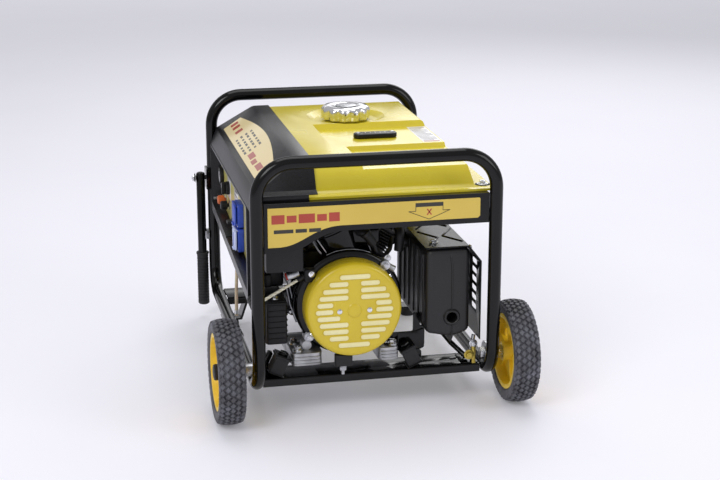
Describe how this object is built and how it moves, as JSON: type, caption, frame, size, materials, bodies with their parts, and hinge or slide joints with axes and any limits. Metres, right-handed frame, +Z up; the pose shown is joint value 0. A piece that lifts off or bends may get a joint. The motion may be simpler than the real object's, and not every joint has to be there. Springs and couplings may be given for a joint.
{
  "type": "portable generator",
  "caption": "Open-frame petrol generator: tube hoops, side control box, recoil-start engine, muffler, yellow tank with screw cap, wheels and folding handles.",
  "frame": {"origin": "on the ground under the middle of the machine's bounding box", "axes": "+X across the machine, away from the control side; +Y from the recoil starter and wheels to the folding handles; +Z up"},
  "size_m": [0.6134, 0.736, 0.5174],
  "materials": {
    "black_paint": "gloss",
    "yellow_paint": "gloss",
    "black_plastic": "satin",
    "yellow_plastic": "satin",
    "rubber": "matte",
    "tyre": "matte",
    "chrome": "mirror",
    "cast_aluminium": "satin",
    "steel": "satin",
    "rope": "matte",
    "face_plate": "satin",
    "blue_plastic": "satin",
    "orange_plastic": "satin",
    "brass": "satin"
  },
  "bodies": {
    "machine": {"near_frame": "black_paint", "far_frame": "black_paint", "near_channel": "black_paint", "far_channel": "black_paint", "front_panel": "black_paint", "rear_panel": "black_paint", "stand": "black_paint", "foot_left": "rubber", "foot_right": "rubber", "axle_left": "steel", "axle_right": "steel", "handle_bracket_left": "black_paint", "handle_bracket_right": "black_paint", "fuel_tank": "yellow_paint", "tank_side_cover": "black_plastic", "fuel_gauge": "black_plastic", "fuel_valve": "brass", "fuel_hose": "rubber", "control_box": "black_plastic", "control_plate": "face_plate", "voltmeter": "black_plastic", "socket_upper": "blue_plastic", "socket_lower": "blue_plastic", "crankcase": "cast_aluminium", "cylinder": "cast_aluminium", "blower_housing": "black_paint", "recoil_cover": "yellow_paint", "starter_rope": "rope", "stator_housing": "cast_aluminium", "end_cover": "cast_aluminium", "muffler": "black_paint", "heat_shield": "black_paint", "muffler_bracket": "black_paint", "air_filter": "black_plastic", "carburetor": "cast_aluminium", "engine_mount_left": "rubber", "engine_mount_right": "rubber"},
    "wheel_left": {"rim_left": "yellow_plastic", "tyre_left": "tyre"},
    "wheel_right": {"rim_right": "yellow_plastic", "tyre_right": "tyre"},
    "handle_left": {"handle_left": "black_paint", "grip_left": "rubber"},
    "handle_right": {"handle_right": "black_paint", "grip_right": "rubber"},
    "cap_lift": {"cap_gasket": "rubber"},
    "cap": {"fuel_cap": "chrome"},
    "valve_lever": {"fuel_valve_lever": "orange_plastic"},
    "choke": {"choke_lever": "black_plastic"},
    "switch": {"engine_switch": "black_plastic"},
    "breaker": {"breaker_toggle": "black_plastic"},
    "reset": {"reset_button": "black_plastic"},
    "lid_upper": {"socket_lid_upper": "blue_plastic"},
    "lid_lower": {"socket_lid_lower": "blue_plastic"},
    "knob_red": {"terminal_red": "orange_plastic"},
    "knob_black": {"terminal_black": "black_plastic"},
    "pull_handle": {"starter_handle": "black_plastic"},
    "crank": {"crankshaft": "steel", "flywheel": "cast_aluminium", "rotor": "steel"}
  },
  "joints": [
    {"name": "wheel_left_spin", "type": "hinge", "parent": "machine", "child": "wheel_left", "pos_m": [-0.2807, -0.268, 0.1], "axis": [1, 0, 0], "continuous": true},
    {"name": "wheel_right_spin", "type": "hinge", "parent": "machine", "child": "wheel_right", "pos_m": [0.2807, -0.268, 0.1], "axis": [1, 0, 0], "continuous": true},
    {"name": "handle_left_fold", "type": "hinge", "parent": "machine", "child": "handle_left", "pos_m": [-0.252, 0.35, 0.324], "axis": [1, 0, 0], "range_deg": [0, 90]},
    {"name": "handle_right_fold", "type": "hinge", "parent": "machine", "child": "handle_right", "pos_m": [0.252, 0.35, 0.324], "axis": [1, 0, 0], "range_deg": [0, 90]},
    {"name": "cap_lift", "type": "slide", "parent": "machine", "child": "cap_lift", "axis": [0, 0, 1], "range_m": [0, 0.08]},
    {"name": "cap_turn", "type": "hinge", "parent": "cap_lift", "child": "cap", "pos_m": [0.036, 0.163, 0.5], "axis": [0, 0, 1], "range_deg": [0, 90]},
    {"name": "fuel_valve_turn", "type": "hinge", "parent": "machine", "child": "valve_lever", "pos_m": [-0.1, -0.144, 0.4063], "axis": [0, 1, 0], "range_deg": [-90, 0]},
    {"name": "choke_turn", "type": "hinge", "parent": "machine", "child": "choke", "pos_m": [-0.13315, -0.157, 0.208], "axis": [0, 1, 0], "range_deg": [0, 45]},
    {"name": "engine_switch_turn", "type": "hinge", "parent": "machine", "child": "switch", "pos_m": [-0.216, 0.2, 0.335], "axis": [1, 0, 0], "range_deg": [0, 60]},
    {"name": "breaker_rock", "type": "hinge", "parent": "machine", "child": "breaker", "pos_m": [-0.215, 0.086, 0.292], "axis": [0, 1, 0], "range_deg": [-25, 25]},
    {"name": "reset_press", "type": "slide", "parent": "machine", "child": "reset", "axis": [1, 0, 0], "range_m": [0, 0.003], "stiffness_N_per_m": 600, "springref_m": -0.002},
    {"name": "lid_upper_open", "type": "hinge", "parent": "machine", "child": "lid_upper", "pos_m": [-0.2238, 0.006, 0.351], "axis": [0, 1, 0], "range_deg": [0, 100], "stiffness_Nm_per_rad": 0.02, "springref_deg": -20.05},
    {"name": "lid_lower_open", "type": "hinge", "parent": "machine", "child": "lid_lower", "pos_m": [-0.2238, 0.006, 0.3], "axis": [0, 1, 0], "range_deg": [0, 100], "stiffness_Nm_per_rad": 0.02, "springref_deg": -20.05},
    {"name": "knob_red_turn", "type": "hinge", "parent": "machine", "child": "knob_red", "pos_m": [-0.218, 0.25, 0.297], "axis": [1, 0, 0], "range_deg": [0, 360]},
    {"name": "knob_black_turn", "type": "hinge", "parent": "machine", "child": "knob_black", "pos_m": [-0.218, 0.202, 0.297], "axis": [1, 0, 0], "range_deg": [0, 360]},
    {"name": "starter_pull", "type": "slide", "parent": "machine", "child": "pull_handle", "axis": [-1, 0, 0], "range_m": [0, 0.6], "stiffness_N_per_m": 30, "springref_m": -0.2},
    {"name": "crank_spin", "type": "hinge", "parent": "machine", "child": "crank", "pos_m": [-0.042, -0.11, 0.213], "axis": [0, 1, 0], "continuous": true}
  ]
}
